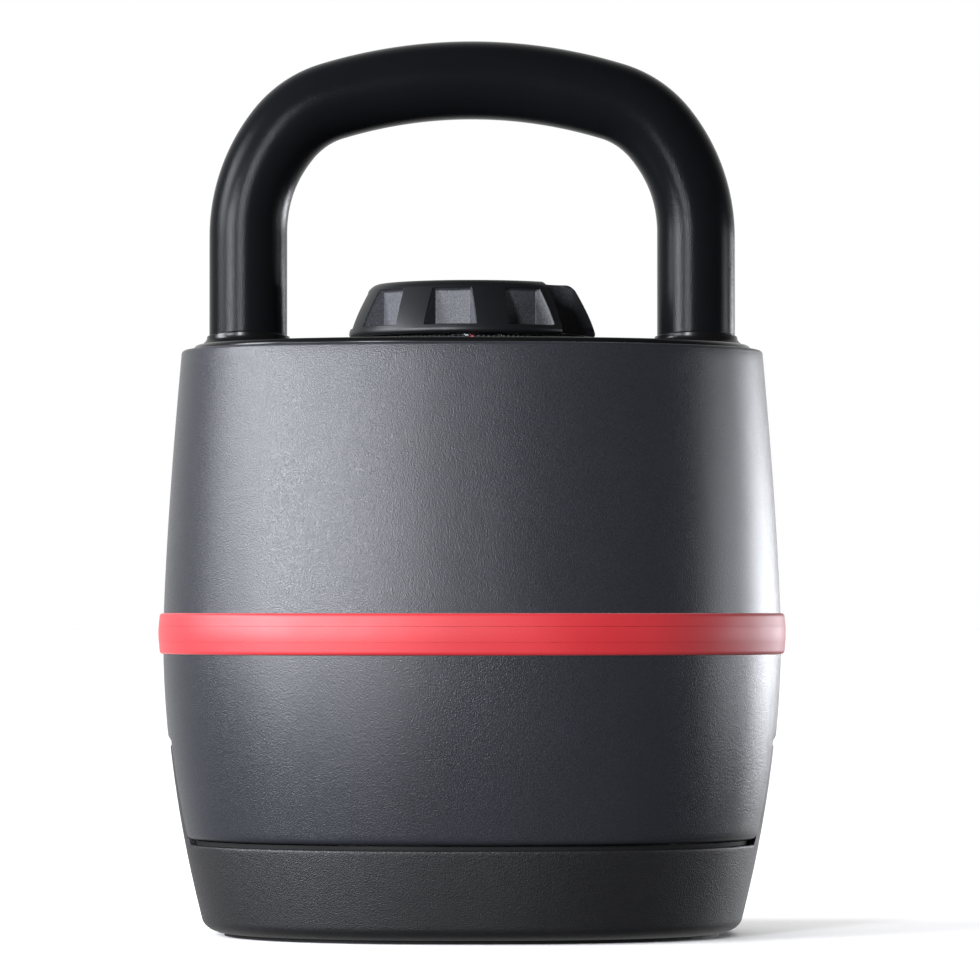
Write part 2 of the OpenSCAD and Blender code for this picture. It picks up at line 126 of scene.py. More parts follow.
class KettlebellSizes(bpy.types.PropertyGroup):
    """Small dimensions of the moulded and bent pieces that the frame doesn't fix."""
    wall: length("Wall", "Thickness of the moulded shells", 3)
    shell_edge: length("Shell edge", "Rounding of the upper shell's rim", 1.1)
    parting_edge: length("Parting edge", "Rounding of the shell's edge above the base", 2.0)
    parting_gap: length("Parting gap", "Dark gap between shell and base", 1.9)
    ear_gap: length("Ear gap", "Gap round the base's side ears", 0.7)
    ear_step: length("Ear step", "Depth of the bevelled step in the shell above an ear", 1.1)
    cover_edge: length("Cover edge", "Rounding of the glossy cover's edge", 1.9)
    pocket_fillet: length("Pocket fillet", "Rounding inside and round the dial's grip pockets", 0.8)
    collar_height: length("Collar height", "Height of the flared collars on the legs", 4.4)
    tooth_depth: length("Tooth depth", "Depth of the fine teeth under the dial", 0.45)
    plate_bevel: length("Plate bevel", "Bevel on the edges of the weight plates", 1.2)
    grain: length("Grain", "Width of one grain of the spark-eroded plastic", 0.42)


class KettlebellColours(bpy.types.PropertyGroup):
    """Base colours of the visible finishes."""
    shell: colour("Shell", "Charcoal moulded shells", "#28292e")
    tray: colour("Base", "Darker moulded base", "#151517")
    band: colour("Band", "Red elastomer band", "#c4262d")
    bar: colour("Bar", "Black powder coat of the grip bar", "#101113")
    dial: colour("Dial", "Satin black dial", "#111214")
    gloss: colour("Gloss", "Gloss black cover and collars", "#0c0c0d")
    ink: colour("Ink", "Printed numbers", "#d9dadc")


def sizes():
    return bpy.context.scene.kettlebell_sizes


def colours():
    return bpy.context.scene.kettlebell_colours


# ---- Surfaces ----


def surface(name, points, body, node=None, ring=True, joined=False, caps=(False, False),
            sharp=40):
    """Makes a mesh from a grid of points, rows by columns, and puts it on a body.

    Columns close round when ring is true. Rows close round when joined is true. A cap closes the
    first or the last row with a fan to its middle. Rows that climb with columns running
    anticlockwise seen from above face outwards.
    """
    rows, cols = points.shape[:2]
    at = np.arange(rows * cols).reshape(rows, cols)
    low, high = (at, np.roll(at, -1, 0)) if joined else (at[:-1], at[1:])
    if ring:
        quads = (low, np.roll(low, -1, 1), np.roll(high, -1, 1), high)
    else:
        quads = (low[:, :-1], low[:, 1:], high[:, 1:], high[:, :-1])
    faces = np.stack(quads, -1).reshape(-1, 4).tolist()
    verts = points.reshape(-1, 3)
    for wanted, row, step in ((caps[0], at[0], 1), (caps[1], at[-1], -1)):
        if wanted:
            middle = len(verts)
            verts = np.vstack([verts, verts[row].mean(0)])
            order = row if step < 0 else row[::-1]
            faces += np.stack([order, np.roll(order, -1), np.full(cols, middle)], -1).tolist()
    return piece(name, verts, faces, body, node, sharp)


def piece(name, verts, faces, body, node=None, sharp=40):
    """Makes an object from vertices and faces, shades it smooth up to an angle, and rides it on a body."""
    mesh = bpy.data.meshes.new(name)
    mesh.from_pydata(np.asarray(verts).tolist(), [], faces)
    mesh.validate()
    mesh.shade_smooth()
    mesh.set_sharp_from_angle(angle=math.radians(sharp))
    made = bpy.data.objects.new(name, mesh)
    bpy.context.scene.collection.objects.link(made)
    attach(made, body)
    if node:
        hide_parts(*([node] if isinstance(node, str) else node))
    return made


def body_hw(z):
    """Half width of the body at a height: the belly less a power of the distance from it."""
    above = np.clip((z - BELLY_Z) / (RIM_Z - BELLY_Z), 0, None)
    below = np.clip((BELLY_Z - z) / BELLY_Z, 0, None)
    return BELLY_HW - RIM_TAPER * above ** RIM_POWER - FOOT_TAPER * below ** FOOT_POWER


def outline(turn, hw, z):
    """Points of the plan outline: a squared ellipse of half width hw, its depth less by the flatness."""
    c, s = np.cos(turn), np.sin(turn)
    x = hw * np.sign(c) * np.abs(c) ** (2 / SQUARENESS)
    y = (hw - FLATNESS) * np.sign(s) * np.abs(s) ** (2 / SQUARENESS)
    return np.stack(np.broadcast_arrays(x, y, z), -1)


def turns(count):
    """Angles evenly round one turn, without the last one that closes it."""
    return np.linspace(0, TURN, count, endpoint=False)


def body_turns():
    """Angles round the body: even, but close together where the steep sides of the ears stand.

    A side at the half length y stands at the angle whose sine is (y / half depth) to the squareness / 2.
    """
    deep = body_hw(50 * MM) - FLATNESS
    y = np.linspace(EAR_TOP - 2 * MM, EAR_LOW + 4 * MM, 70)
    side = np.arcsin((y / deep) ** (SQUARENESS / 2))
    even = turns(560)
    apart = np.abs(np.sin(even))
    even = even[(apart < np.sin(side[0])) | (apart > np.sin(side[-1]))]
    return np.sort(np.concatenate([even, side, math.pi - side, math.pi + side, TURN - side]))


def ease(v):
    """A step from 0 to 1 whose ends are smooth."""
    v = np.clip(v, 0, 1)
    return v * v * (3 - 2 * v)


def soft_min(a, b, r):
    """The lesser of two values, with a fillet of about r where they cross."""
    h = np.clip(0.5 + 0.5 * (b - a) / r, 0, 1)
    return b * (1 - h) + a * h - r * h * (1 - h)


def soft_max(a, b, r):
    """The greater of two values, with a fillet of about r where they cross."""
    return -soft_min(-a, -b, r)


def wall_rows(wall, low_round, high_round, body=26, arc=7):
    """Rows of a closed wall as inset, share of the way up, and height added.

    They run round the rounded foot, up the outside, over the rounded rim and down the inside.
    """
    a = np.linspace(0, math.pi / 2, arc)
    within = min(low_round, wall - low_round)
    up = np.linspace(0, 1, body)[1:-1]
    flat = np.zeros_like(up)
    foot_out = (low_round * (1 - np.sin(a)), 0 * a, low_round * (1 - np.cos(a)))
    outside = (flat, up, low_round * (1 - up) - high_round * up)
    rim_out = (high_round * (1 - np.cos(a)), 0 * a + 1, high_round * (np.sin(a) - 1))
    rim_in = (wall - high_round * (1 - np.sin(a)), 0 * a + 1, high_round * (np.cos(a) - 1))
    inside = (flat + wall, up[::-1], (low_round * (1 - up) - high_round * up)[::-1])
    foot_in = (wall - within * (1 - np.cos(a)), 0 * a, within * (1 - np.sin(a)))
    parts = (foot_out, outside, rim_out, rim_in, inside, foot_in)
    return [np.concatenate([p[i] for p in parts])[:, None] for i in range(3)]


def revolved(radius, z, turn):
    """A profile of radius and height turned about the vertical axis."""
    r = np.broadcast_to(radius, (len(radius), len(turn))) if radius.ndim == 2 else radius[:, None]
    h = z if np.ndim(z) == 2 else z[:, None]
    return np.stack(np.broadcast_arrays(r * np.cos(turn), r * np.sin(turn), h), -1)


def rounded(corners, steps=6):
    """Outline through corners given as (x, y, rounding): each corner becomes a smooth curve.

    The curve is a quadratic one from the tangent point before the corner to the one after it.
    """
    p = np.array([c[:2] for c in corners], float)
    r = [c[2] for c in corners]
    out = []
    for i, at in enumerate(p):
        if r[i] <= 0 or i in (0, len(p) - 1):
            out.append(at[None])
            continue
        before, after = p[i - 1] - at, p[i + 1] - at
        a = at + before / np.linalg.norm(before) * r[i]
        b = at + after / np.linalg.norm(after) * r[i]
        t = np.linspace(0, 1, steps)[:, None]
        out.append((1 - t) ** 2 * a + 2 * t * (1 - t) * at + t ** 2 * b)
    return np.vstack(out)


# ---- Materials ----


def add(tree, kind, inputs=None, **settings):
    """Adds a node. Settings are its own, and inputs maps a socket to a value or to a link's source."""
    node = tree.nodes.new(kind)
    for key, value in settings.items():
        setattr(node, key, value)
    for key, value in (inputs or {}).items():
        if isinstance(value, bpy.types.NodeSocket):
            tree.links.new(value, node.inputs[key])
        else:
            node.inputs[key].default_value = value
    return node


def shader(name, code, rough, spec=0.5, metal=0.0, coat=0.0, coat_rough=0.1, vary=0.12):
    """Starts a material: a Principled shader whose colour and gloss wander a little over the surface.

    Returns the material, its tree, its shader and the object coordinates in millimetres.
    """
    made = bpy.data.materials.new(name)
    made.use_nodes = True
    tree = made.node_tree
    main = tree.nodes["Principled BSDF"]
    where = add(tree, "ShaderNodeTexCoord").outputs["Object"]
    mm = add(tree, "ShaderNodeVectorMath", {0: where, 1: (1 / MM,) * 3}, operation="MULTIPLY").outputs[0]
    cloud = add(tree, "ShaderNodeTexNoise", {"Vector": mm, "Scale": 1 / 23, "Detail": 3.0})
    dark = tuple(v * (1 - vary) for v in code[:3]) + (1.0,)
    light = tuple(min(1, v * (1 + vary)) for v in code[:3]) + (1.0,)
    mix = add(tree, "ShaderNodeMix", {"Factor": cloud.outputs["Fac"], 6: dark, 7: light}, data_type="RGBA")
    gloss = add(tree, "ShaderNodeMapRange", {"Value": cloud.outputs["Fac"], 1: 0.3, 2: 0.7,
                                             3: rough * 0.92, 4: min(1, rough * 1.08)})
    tree.links.new(mix.outputs[2], main.inputs["Base Color"])
    tree.links.new(gloss.outputs[0], main.inputs["Roughness"])
    main.inputs["Metallic"].default_value = metal
    main.inputs["Specular IOR Level"].default_value = spec
    main.inputs["Coat Weight"].default_value = coat
    main.inputs["Coat Roughness"].default_value = coat_rough
    return made, tree, main, mm


def dents(tree, main, height, depth_mm, under=None):
    """Bumps the surface by a height field whose full range is depth_mm."""
    inputs = {"Height": height, "Distance": depth_mm * MM, "Strength": 1.0}
    if under is not None:
        inputs["Normal"] = under
    bump = add(tree, "ShaderNodeBump", inputs)
    tree.links.new(bump.outputs[0], main.inputs["Normal"])
    return bump.outputs[0]


def eroded_plastic(name, code, rough, grain_mm, depth_mm, speck=0.16):
    """Polypropylene or ABS moulded in a spark-eroded tool: crisp grains of grain_mm, glossy on top.

    The grain breaks the highlights into small bright points, and the colour shifts a little with it.
    """
    made, tree, main, mm = shader(name, code, rough)
    pebble = add(tree, "ShaderNodeTexVoronoi", {"Vector": mm, "Scale": 1 / grain_mm, "Randomness": 1.0},
                 feature="F1")
    fine = add(tree, "ShaderNodeTexNoise", {"Vector": mm, "Scale": 0.9 / grain_mm, "Detail": 1.0,
                                            "Roughness": 0.6})
    relief = add(tree, "ShaderNodeMath", {0: pebble.outputs["Distance"], 1: fine.outputs["Fac"]},
                 operation="ADD")
    dents(tree, main, relief.outputs[0], depth_mm)
    base = main.inputs["Base Color"].links[0].from_socket
    flecks = add(tree, "ShaderNodeMapRange", {"Value": fine.outputs["Fac"], 1: 0.35, 2: 0.65,
                                              3: 1 - speck, 4: 1 + speck})
    tinted = add(tree, "ShaderNodeVectorMath", {0: base, 1: flecks.outputs[0]}, operation="MULTIPLY")
    tree.links.new(tinted.outputs[0], main.inputs["Base Color"])
    worn = add(tree, "ShaderNodeMapRange", {"Value": fine.outputs["Fac"], 1: 0.35, 2: 0.65,
                                            3: rough * (1 - speck), 4: rough * (1 + speck)})
    tree.links.new(worn.outputs[0], main.inputs["Roughness"])
    return made


def satin_elastomer(name, code):
    """Thermoplastic elastomer with a fine matt skin: even colour, soft wide highlights."""
    made, tree, main, mm = shader(name, code, 0.5, spec=0.6, vary=0.05)
    skin = add(tree, "ShaderNodeTexNoise", {"Vector": mm, "Scale": 1.6, "Detail": 3.0})
    dents(tree, main, skin.outputs["Fac"], 0.03)
    main.inputs["Sheen Weight"].default_value = 0.15
    return made


def gloss_plastic(name, code, rough=0.24):
    """Polished ABS: mirror-like with a faint flow ripple from the mould."""
    made, tree, main, mm = shader(name, code, rough, spec=0.35, vary=0.1)
    flow = add(tree, "ShaderNodeTexNoise", {"Vector": mm, "Scale": 1 / 14, "Detail": 2.0})
    dents(tree, main, flow.outputs["Fac"], 0.05)
    return made


def powder_coat(name, code):
    """Black polyester powder coat over a steel bar: faint orange peel with bright grit of half a mm."""
    made, tree, main, mm = shader(name, code, 0.22, spec=0.08, vary=0.15)
    peel = add(tree, "ShaderNodeTexNoise", {"Vector": mm, "Scale": 0.6, "Detail": 2.0, "Roughness": 0.6})
    grit = add(tree, "ShaderNodeTexVoronoi", {"Vector": mm, "Scale": 2.2}, feature="F1")
    relief = add(tree, "ShaderNodeMath", {0: peel.outputs["Fac"], 1: grit.outputs["Distance"]},
                 operation="ADD")
    dents(tree, main, relief.outputs[0], 0.035)
    return made


def satin_dial_plastic(name, code):
    """Glass-filled nylon, finely eroded: satin skin outside, coarser and paler grain inside the pockets."""
    made, tree, main, mm = shader(name, code, 0.40, spec=0.32, vary=0.1)
    inside = add(tree, "ShaderNodeAttribute", attribute_name="pocket").outputs["Fac"]
    fine = add(tree, "ShaderNodeTexNoise", {"Vector": mm, "Scale": 2.0, "Detail": 2.0})
    coarse = add(tree, "ShaderNodeTexNoise", {"Vector": mm, "Scale": 1.7, "Detail": 3.0, "Roughness": 0.7})
    blend = add(tree, "ShaderNodeMix", {"Factor": inside, 2: fine.outputs["Fac"], 3: coarse.outputs["Fac"]})
    depth = add(tree, "ShaderNodeMath", {0: inside, 1: 2.4, 2: 0.6}, operation="MULTIPLY_ADD")
    relief = add(tree, "ShaderNodeMath", {0: blend.outputs[0], 1: depth.outputs[0]}, operation="MULTIPLY")
    dents(tree, main, relief.outputs[0], 0.035)
    base = main.inputs["Base Color"].links[0].from_socket
    flecks = add(tree, "ShaderNodeMapRange", {"Value": coarse.outputs["Fac"], 1: 0.35, 2: 0.65,
                                              3: 0.55, 4: 1.5})
    grey = add(tree, "ShaderNodeVectorMath", {0: srgb("#434448")[:3], 1: flecks.outputs[0]},
               operation="MULTIPLY")
    paler = add(tree, "ShaderNodeMix", {"Factor": inside, 6: base, 7: grey.outputs[0]}, data_type="RGBA")
    tree.links.new(paler.outputs[2], main.inputs["Base Color"])
    return made


def brushed_steel(name, code, rough=0.3, along=(1, 1, 0.05)):
    """Turned or rolled steel: fine lines along one way, from the tool or the rolls."""
    made, tree, main, mm = shader(name, code, rough, metal=1.0, vary=0.08)
    lines = add(tree, "ShaderNodeMapping", {"Vector": mm, "Scale": along})
    brush = add(tree, "ShaderNodeTexNoise", {"Vector": lines.outputs[0], "Scale": 1.8, "Detail": 4.0})
    dents(tree, main, brush.outputs["Fac"], 0.03)
    return made


def painted_casting(name, code):
    """Cast steel plate in black hammer paint: shallow dimples of about 3 mm under a semi-gloss skin."""
    made, tree, main, mm = shader(name, code, 0.38, vary=0.15)
    dimples = add(tree, "ShaderNodeTexVoronoi", {"Vector": mm, "Scale": 1 / 3}, feature="SMOOTH_F1")
    dents(tree, main, dimples.outputs["Distance"], 0.25)
    return made


def matt_rubber(name, code):
    """Moulded rubber: matt, with a fine dusty grain."""
    made, tree, main, mm = shader(name, code, 0.75, spec=0.3, vary=0.2)
    dust = add(tree, "ShaderNodeTexNoise", {"Vector": mm, "Scale": 1.2, "Detail": 4.0})
    dents(tree, main, dust.outputs["Fac"], 0.08)
    return made


def printed_ink(name, code):
    """Pad-printed ink: flat white with a faint weave in its surface."""
    made, tree, main, mm = shader(name, code, 0.5, vary=0.06)
    weave = add(tree, "ShaderNodeTexNoise", {"Vector": mm, "Scale": 3.0, "Detail": 2.0})
    dents(tree, main, weave.outputs["Fac"], 0.01)
    return made


def coat(made, material):
    """Gives an object one material."""
    made.data.materials.clear()
    made.data.materials.append(material)


def finish_nodes(material, *names):
    """Gives CAD nodes a material."""
    for name in names:
        coat(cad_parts[name], material)


def material(name, make, *values, **more):
    """The material of that name, made the first time it is asked for."""
    return bpy.data.materials.get(name) or make(name, *values, **more)


# ---- Pieces ----


def parting_line(turn, gap):
    """Height of the shell's lower edge round the body: level, but risen in a trapezoid over each side ear.

    The rise is the lesser of 1 and (low half length - y) / (low - top half length), with a circular
    fillet where it leaves the level part. The gap widens the trapezoid on all sides.
    """
    y = np.abs(outline(turn, body_hw(50 * MM), 0)[:, 1])
    low_half, top_half, fillet = EAR_LOW + gap, EAR_TOP + gap, 1.5 * MM
    slope = soft_min((low_half - y) / (low_half - top_half), 1 + 0 * y, 0.12)
    bend = np.clip((low_half + fillet - y) / fillet, 0, 1)
    rise = fillet * (1 - np.sqrt(1 - bend ** 2)) / (EAR_Z - PART_Z)
    risen = np.clip(np.maximum(slope, rise), 0, 1) * (np.abs(np.cos(turn)) > 0.3)
    return PART_Z + (EAR_Z + gap - PART_Z) * risen, risen


class KETTLEBELL_OT_shells(bpy.types.Operator):
    """Make the two moulded shells that meet behind the band

    Each is a closed wall whose outside is the squared ellipse of half width belly - taper x share of
    the height ^ power. Its free edges are quarter circles, and the lower edge follows the parting line.
    """
    bl_idname = "kettlebell.shells"
    bl_label = "Shells"

    def execute(self, context):
        s, c = sizes(), colours()
        skin = material("spark_eroded_abs", eroded_plastic, c.shell, 0.33, s.grain / MM, 0.06)
        turn = turns(720)
        inset, share, rise = wall_rows(s.wall, s.shell_edge, s.shell_edge)
        z = SEAM_Z * (1 - share) + RIM_Z * share + rise + 0 * turn
        coat(surface("upper_shell_skin", outline(turn, body_hw(z) - inset, z), "kettlebell",
                     "upper_shell", joined=True), skin)
        turn = body_turns()
        inset, share, rise = wall_rows(s.wall, s.parting_edge, 0.3 * MM, body=40)
        edge, risen = parting_line(turn, s.ear_gap)
        low_round = (share == 0) & (inset <= s.parting_edge)
        inset = inset * np.where(low_round, 1 - 0.75 * ease(risen * 4), 1)
        top = SEAM_Z - 0.3 * MM
        z = edge * (1 - share) + top * share + rise
        step = s.ear_step * ease(1 - (z - edge) / (3.2 * MM)) * ease(risen * 3) * (inset < s.wall * 0.6)
        coat(surface("lower_shell_skin", outline(turn, body_hw(z) - inset - step, z), "kettlebell",
                     "lower_shell", joined=True), skin)
        return {"FINISHED"}


class KETTLEBELL_OT_band(bpy.types.Operator):
    """Make the red band over the shells' seam

    A crowned profile with rounded edges runs round the squared ellipse as an inset from its half width.
    """
    bl_idname = "kettlebell.band"
    bl_label = "Band"

    def execute(self, context):
        proud = BAND_HW - 0.05 * MM
        under = BELLY_HW - 0.4 * MM
        middle = (BAND_LOW + BAND_HIGH) / 2
        profile = rounded([(under, BAND_LOW, 0), (proud - 0.7 * MM, BAND_LOW, 1.3 * MM),
                           (proud - 0.4 * MM, BAND_LOW + 3 * MM, 1.6 * MM), (proud, middle, 2.8 * MM),
                           (proud - 0.4 * MM, BAND_HIGH - 3 * MM, 1.6 * MM),
                           (proud - 0.7 * MM, BAND_HIGH, 1.3 * MM), (under, BAND_HIGH, 0)], 9)
        made = surface("band_skin", outline(turns(720), profile[:, :1], profile[:, 1:]), "kettlebell",
                       "band", joined=True)
        coat(made, material("satin_elastomer", satin_elastomer, colours().band))
        return {"FINISHED"}


class KETTLEBELL_OT_base(bpy.types.Operator):
    """Make the base tray with its two side ears

    A cup whose outside is the body's squared ellipse, its heel a flattened quarter circle, and its rim
    the parting line less the gap: a ledge and a thin lip all round, coloured near-black as painted shade
    under the shell's overhang, square edges on the ears.
    """
    bl_idname = "kettlebell.base"
    bl_label = "Base"

    def execute(self, context):
        s, c = sizes(), colours()
        turn = body_turns()
        lip_z, risen = parting_line(turn, 0)
        foot, skin_in, wall = 1.2 * MM, 0.45 * MM, 3.6 * MM
        floor = foot_of("weight_plate_5") - 0.1 * MM
        a = np.linspace(0, math.pi / 2, 9)[:, None]
        heel = 6 * MM
        heel_z = foot + heel * 0.72 * (1 - np.cos(a)) + 0 * turn
        heel_in = skin_in + heel * (1 - np.sin(a)) + 0 * turn
        up = np.linspace(0, 1, 34)[1:-1, None]
        ear = ease(risen * 3)
        over = self.lip(s)[:, :, None] * (1 - ear) + self.ear_edge()[:, :, None] * ear
        lip_rows = lip_z + over[:, 1]
        out_z = (foot + heel * 0.72) * (1 - up) + lip_rows[0] * up
        in_z = lip_rows[-1] * (1 - up) + floor * up
        z = np.vstack([heel_z, out_z, lip_rows, in_z, floor + 0 * turn[None]])
        inset = np.vstack([heel_in, skin_in + 0 * out_z, skin_in + over[:, 0], skin_in + wall + 0 * in_z,
                           skin_in + wall + 1 * MM + 0 * turn[None]])
        hw = body_hw(z) - inset
        made = surface("base_tray_skin", outline(turn, hw, z), "base", "base_tray",
                       caps=(True, True))
        coat(made, material("spark_eroded_polypropylene", eroded_plastic, c.tray, 0.5, s.grain / MM, 0.1))
        # The near-black matt rubber dresses the rubber feet, and it also colours the thin lip behind the
        # ledge as painted shade standing in for the shadow under the shell's overhang.
        rubber = material("moulded_rubber", matt_rubber, srgb("#0c0c0c"))
        made.data.materials.append(rubber)
        # Rows of the thin lip that take the near-black painted shade.
        row = np.arange(len(made.data.polygons)) // len(turn)
        first = len(heel_z) + len(out_z) + 4
        lip = (row >= first) & (row < first + 5)
        made.data.polygons.foreach_set("material_index", lip.astype(np.int32))
        finish_nodes(rubber, "foot_mat")
        return {"FINISHED"}

    def lip(self, s):
        """Edge of the tray's wall as inset and height: a small rounding, a ledge and a thin lip behind it."""
        mm = np.array([[0, -0.75], [0.08, -0.35], [0.3, -0.1], [0.7, 0], [2.2, 0], [2.6, 0.05], [2.65, 1.3],
                       [2.75, 1.5], [3.3, 1.5], [3.6, 0.9]]) * MM
        return mm - [0, s.parting_gap]

    def ear_edge(self):
        """Edge of an ear as inset and height, in as many steps as the lip: nearly square outside."""
        return np.array([[0, -0.7], [0.03, -0.35], [0.15, -0.1], [0.4, 0], [0.8, 0], [1.2, 0], [1.8, 0],
                         [2.7, 0], [3.3, -0.2], [3.6, -0.8]]) * MM


class KETTLEBELL_OT_cover(bpy.types.Operator):
    """Make the glossy top cover and the two flared collars

    The cover is a squared ellipse with a quarter-circle edge, its deck blended in a straight line to a
    round hole. A collar is a flared profile turned about its leg, its height less by a cosine of twice
    the angle.
    """
    bl_idname = "kettlebell.cover"
    bl_label = "Cover and collars"

    def execute(self, context):
        s, c = sizes(), colours()
        gloss = material("polished_abs", gloss_plastic, c.gloss)
        turn = turns(512)
        hw = reach_of("top_cover")
        a = np.linspace(0, math.pi / 2, 10)[:, None]
        r = s.cover_edge
        skirt_z = foot_of("top_cover") + 1 * MM
        hole = 18 * MM
        rows = [outline(turn, hw - 3 * MM, skirt_z + 0 * turn)[None],
                outline(turn, hw + 0 * turn, skirt_z + 0 * turn)[None],
                outline(turn, hw - r * (1 - np.cos(a)), COVER_Z - r * (1 - np.sin(a)) + 0 * turn)]
        deck = outline(turn, hw - r, COVER_Z + 0 * turn)
        rim = np.stack([hole * np.cos(turn), hole * np.sin(turn), COVER_Z + 0 * turn], -1)
        share = np.linspace(0, 1, 12)[1:, None, None]
        rows += [deck * (1 - share) + rim * share,
                 (rim - [0, 0, 3 * MM])[None],
                 outline(turn, hw - 3 * MM, COVER_Z - 3 * MM + 0 * turn)[None]]
        coat(surface("top_cover_skin", np.vstack(rows), "kettlebell", "top_cover",
                     joined=True), gloss)
        turn = turns(128)
        tall = s.collar_height
        profile = rounded([(BAR_R + 0.02 * MM, 0, 0), (BAR_R + 2.9 * MM, 0, 0.6 * MM),
                           (BAR_R + 2.3 * MM, 1.0 * MM, 0.8 * MM), (BAR_R + 1.0 * MM, 2.2 * MM, 1.2 * MM),
                           (BAR_R + 0.75 * MM, tall, 0.5 * MM), (BAR_R + 0.02 * MM, tall, 0)], 8)
        for side, name in ((-1, "collar_left"), (1, "collar_right")):
            wave = 1 - 0.16 * np.cos(2 * turn) * (profile[:, 1:] / tall)
            points = revolved(profile[:, 0], COVER_Z + profile[:, 1:] * wave, turn)
            points[..., 0] += side * LEG_X
            coat(surface(name + "_skin", points, "kettlebell", name, joined=True), gloss)
        return {"FINISHED"}


class KETTLEBELL_OT_handle(bpy.types.Operator):
    """Make the bent grip bar

    A round bar swept along tangent arcs, crown, shoulder and elbow, and a straight leg, the same on
    both sides. Its inner side is a little flattened at the elbows by a bell curve of the lean.
    """
    bl_idname = "kettlebell.handle"
    bl_label = "Grip bar"

    def execute(self, context):
        crown_r, shoulder_r = 171.5 * MM, 34 * MM
        crown_end, shoulder_end = math.radians(17), math.radians(51.7)
        crown_z = GRIP_TOP - BAR_R - crown_r
        sx = (crown_r - shoulder_r) * math.sin(crown_end)
        sz = crown_z + (crown_r - shoulder_r) * math.cos(crown_end)
        elbow_r = (LEG_X - sx - shoulder_r * math.sin(shoulder_end)) / (1 - math.sin(shoulder_end))
        ex = sx + (shoulder_r - elbow_r) * math.sin(shoulder_end)
        ez = sz + (shoulder_r - elbow_r) * math.cos(shoulder_end)
        foot = foot_of("handle")
        a = np.linspace(0, crown_end, 24, endpoint=False)
        b = np.linspace(crown_end, shoulder_end, 26, endpoint=False)
        d = np.linspace(shoulder_end, math.pi / 2, 26, endpoint=False)
        leg = np.linspace(ez, foot, 26)
        x = np.concatenate([crown_r * np.sin(a), sx + shoulder_r * np.sin(b), ex + elbow_r * np.sin(d),
                            LEG_X + 0 * leg])
        z = np.concatenate([crown_z + crown_r * np.cos(a), sz + shoulder_r * np.cos(b),
                            ez + elbow_r * np.cos(d), leg])
        lean = np.concatenate([a, b, d, math.pi / 2 + 0 * leg])
        x, z, lean = (np.concatenate([k * v[:0:-1], v]) for k, v in ((-1, x), (1, z), (-1, lean)))
        round_it = turns(96)
        squeeze = 0.035 * np.exp(-((np.abs(lean) - math.radians(70)) / 0.3) ** 2)[:, None]
        inner = np.clip(-np.cos(round_it), 0, 1) ** 2
        out = BAR_R * np.cos(round_it) * (1 - squeeze * inner)
        across = BAR_R * np.sin(round_it) * (1 + 0.3 * squeeze * inner)
        points = np.stack([x[:, None] + out * np.sin(lean)[:, None], across + 0 * x[:, None],
                           z[:, None] + out * np.cos(lean)[:, None]], -1)[::-1]
        made = surface("handle_bar", points, "kettlebell", "handle", caps=(True, True))
        coat(made, material("textured_powder_coat", powder_coat, colours().bar))
        return {"FINISHED"}


def dial_profile(z):
    """Outer radius of the dial at a height: a convex cone with a rounded lip below and a rounded top edge."""
    up = (z - DIAL_Z) / (DIAL_TOP - DIAL_Z)
    cone = DIAL_R - 8.6 * MM * up ** 1.35
    lip = 1.5 * MM * (1 - np.sqrt(np.clip(1 - (1 - np.clip(up / 0.1, 0, 1)) ** 2, 0, 1)))
    edge = 2.2 * MM * (1 - np.sqrt(np.clip(1 - np.clip((up - 0.87) / 0.13, 0, 1) ** 2, 0, 1)))
    return cone - lip - edge


SHAFT_HOLE = 11.02 * MM
POCKET_BACK, POCKET_HALF, NOTCH_BACK = 34.9 * MM, 6.2 * MM, 26.5 * MM
POCKET_STEP = math.radians(40)
FIRST_POCKET = math.radians(-91.2) + FRONT
NOTCH = 4
NOTCH_LEFT, NOTCH_RIGHT = math.radians(22.4), math.radians(21.2)


def dial_turns():
    """Angles round the dial, close together where a pocket's side walls stand and wide apart elsewhere."""
    left, right = np.linspace(9.2, 13.6, 34), np.linspace(9.2, 15.8, 44)
    flat = np.array([1.5, 3.5, 5.5, 7.5, 8.5])
    steep = np.concatenate([np.linspace(-11, -1, 8), np.linspace(-0.4, 0.4, 7)])
    every = []
    for i in range(9):
        if i == NOTCH:
            offs = [-math.degrees(NOTCH_LEFT) - steep, [-4, 0, 4], math.degrees(NOTCH_RIGHT) + steep]
        else:
            offs = [-left, -flat, [0], flat, right, [-14.8, -16.6, -18.4, 17.2, 18.8]]
        every.append(FIRST_POCKET + i * POCKET_STEP + np.radians(np.concatenate(offs)))
    return np.sort(np.unique(np.round(np.concatenate(every) % TURN, 6)))


